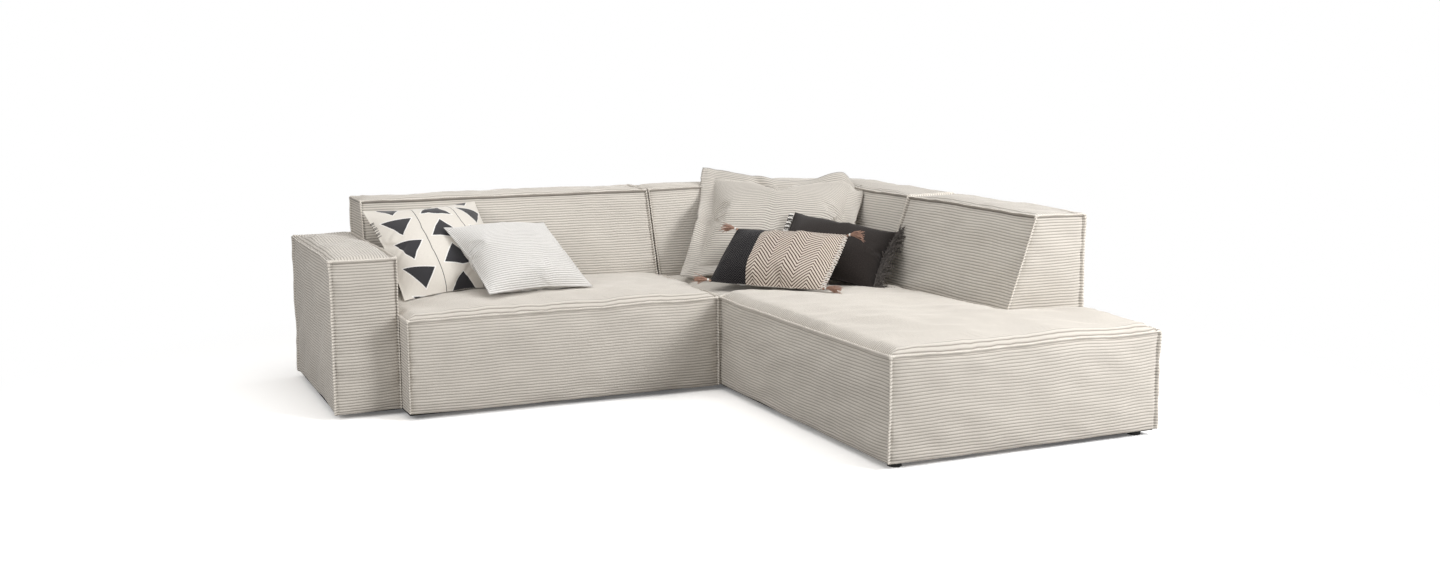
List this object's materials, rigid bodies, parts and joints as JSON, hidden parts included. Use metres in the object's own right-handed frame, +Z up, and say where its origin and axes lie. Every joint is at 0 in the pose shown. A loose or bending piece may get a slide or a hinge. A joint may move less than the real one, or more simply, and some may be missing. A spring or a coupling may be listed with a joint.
{
  "type": "corner sofa",
  "caption": "Low corner sofa in wide-wale corduroy: left element with a block arm, right element with corner seat and long ottoman, and loose cushions.",
  "frame": {"origin": "on the floor, under the middle of the whole sofa's bounding box", "axes": "+X along the rear, from the arm to the ottoman's outer side; +Y to the rear; +Z up"},
  "size_m": [2.704, 2.404, 0.8562],
  "materials": {
    "greige_corduroy": "wide-wale corduroy, soft pile",
    "cream_woven": "plain woven cotton with dark triangles",
    "white_corduroy": "fine corduroy",
    "charcoal_woven": "dense woven cotton",
    "charcoal_fringe": "loose yarn",
    "herringbone_woven": "herringbone weave, one third black",
    "blush_tassel": "cotton yarn",
    "cushion_filling": "polyester fibre in a light cloth",
    "foam": "open-cell foam",
    "timber": "sawn pine and board",
    "elastic_belt": "woven elastic",
    "black_cloth": "non-woven underside cloth",
    "black_plastic": "matt black",
    "zip_tape": "moulded teeth on tape",
    "zinc_steel": "zinc plated"
  },
  "bodies": {
    "left_element": {"arm_cover": "greige_corduroy", "arm_foam": "foam", "arm_frame": "timber", "hook_plate_screws": "zinc_steel", "hook_plates": "zinc_steel", "left_back_belts": "elastic_belt", "left_back_cover": "greige_corduroy", "left_back_foam": "foam", "left_back_frame": "timber", "left_feet": "black_plastic", "left_foot_screws": "zinc_steel", "left_frame_bolts": "zinc_steel", "left_seat_cover": "greige_corduroy", "left_seat_foam": "foam", "left_seat_frame": "timber", "left_seat_springs": "zinc_steel", "left_underside_cloth": "black_cloth"},
    "right_element": {"corner_back_belts": "elastic_belt", "corner_rear_back_cover": "greige_corduroy", "corner_rear_back_foam": "foam", "corner_rear_back_frame": "timber", "corner_seat_cover": "greige_corduroy", "corner_seat_foam": "foam", "corner_seat_frame": "timber", "corner_seat_springs": "zinc_steel", "corner_side_back_cover": "greige_corduroy", "corner_side_back_foam": "foam", "corner_side_back_frame": "timber", "ottoman_back_belts": "elastic_belt", "ottoman_back_cover": "greige_corduroy", "ottoman_back_foam": "foam", "ottoman_back_frame": "timber", "ottoman_cover": "greige_corduroy", "ottoman_foam": "foam", "ottoman_frame": "timber", "ottoman_springs": "zinc_steel", "pocket_plate_screws": "zinc_steel", "pocket_plates": "zinc_steel", "right_feet": "black_plastic", "right_foot_screws": "zinc_steel", "right_frame_bolts": "zinc_steel", "right_underside_cloth": "black_cloth"},
    "triangle_cushion": {"triangle_cushion_cover": "cream_woven", "triangle_cushion_filling": "cushion_filling", "triangle_cushion_zip": "zip_tape"},
    "white_cushion": {"white_cushion_cover": "white_corduroy", "white_cushion_filling": "cushion_filling", "white_cushion_zip": "zip_tape"},
    "cord_cushion": {"cord_cushion_cover": "greige_corduroy", "cord_cushion_filling": "cushion_filling"},
    "charcoal_cushion": {"charcoal_cushion_cover": "charcoal_woven", "charcoal_cushion_filling": "cushion_filling", "charcoal_cushion_fringe": "charcoal_fringe", "charcoal_cushion_zip": "zip_tape"},
    "lumbar_cushion": {"lumbar_cushion_cover": "herringbone_woven", "lumbar_cushion_filling": "cushion_filling", "lumbar_cushion_tassels": "blush_tassel", "lumbar_cushion_zip": "zip_tape"}
  },
  "joints": [
    {"name": "right_element_unhook", "type": "slide", "parent": "left_element", "child": "right_element", "axis": [0, 0, 1], "range_m": [0, 0.05]},
    {"name": "triangle_cushion_lift", "type": "slide", "parent": "left_element", "child": "triangle_cushion", "axis": [0, 0, 1], "range_m": [0, 0.5]},
    {"name": "white_cushion_lift", "type": "slide", "parent": "triangle_cushion", "child": "white_cushion", "axis": [0, 0, 1], "range_m": [0, 0.5]},
    {"name": "cord_cushion_lift", "type": "slide", "parent": "right_element", "child": "cord_cushion", "axis": [0, 0, 1], "range_m": [0, 0.5]},
    {"name": "charcoal_cushion_lift", "type": "slide", "parent": "cord_cushion", "child": "charcoal_cushion", "axis": [0, 0, 1], "range_m": [0, 0.5]},
    {"name": "lumbar_cushion_lift", "type": "slide", "parent": "charcoal_cushion", "child": "lumbar_cushion", "axis": [0, 0, 1], "range_m": [0, 0.5]}
  ]
}
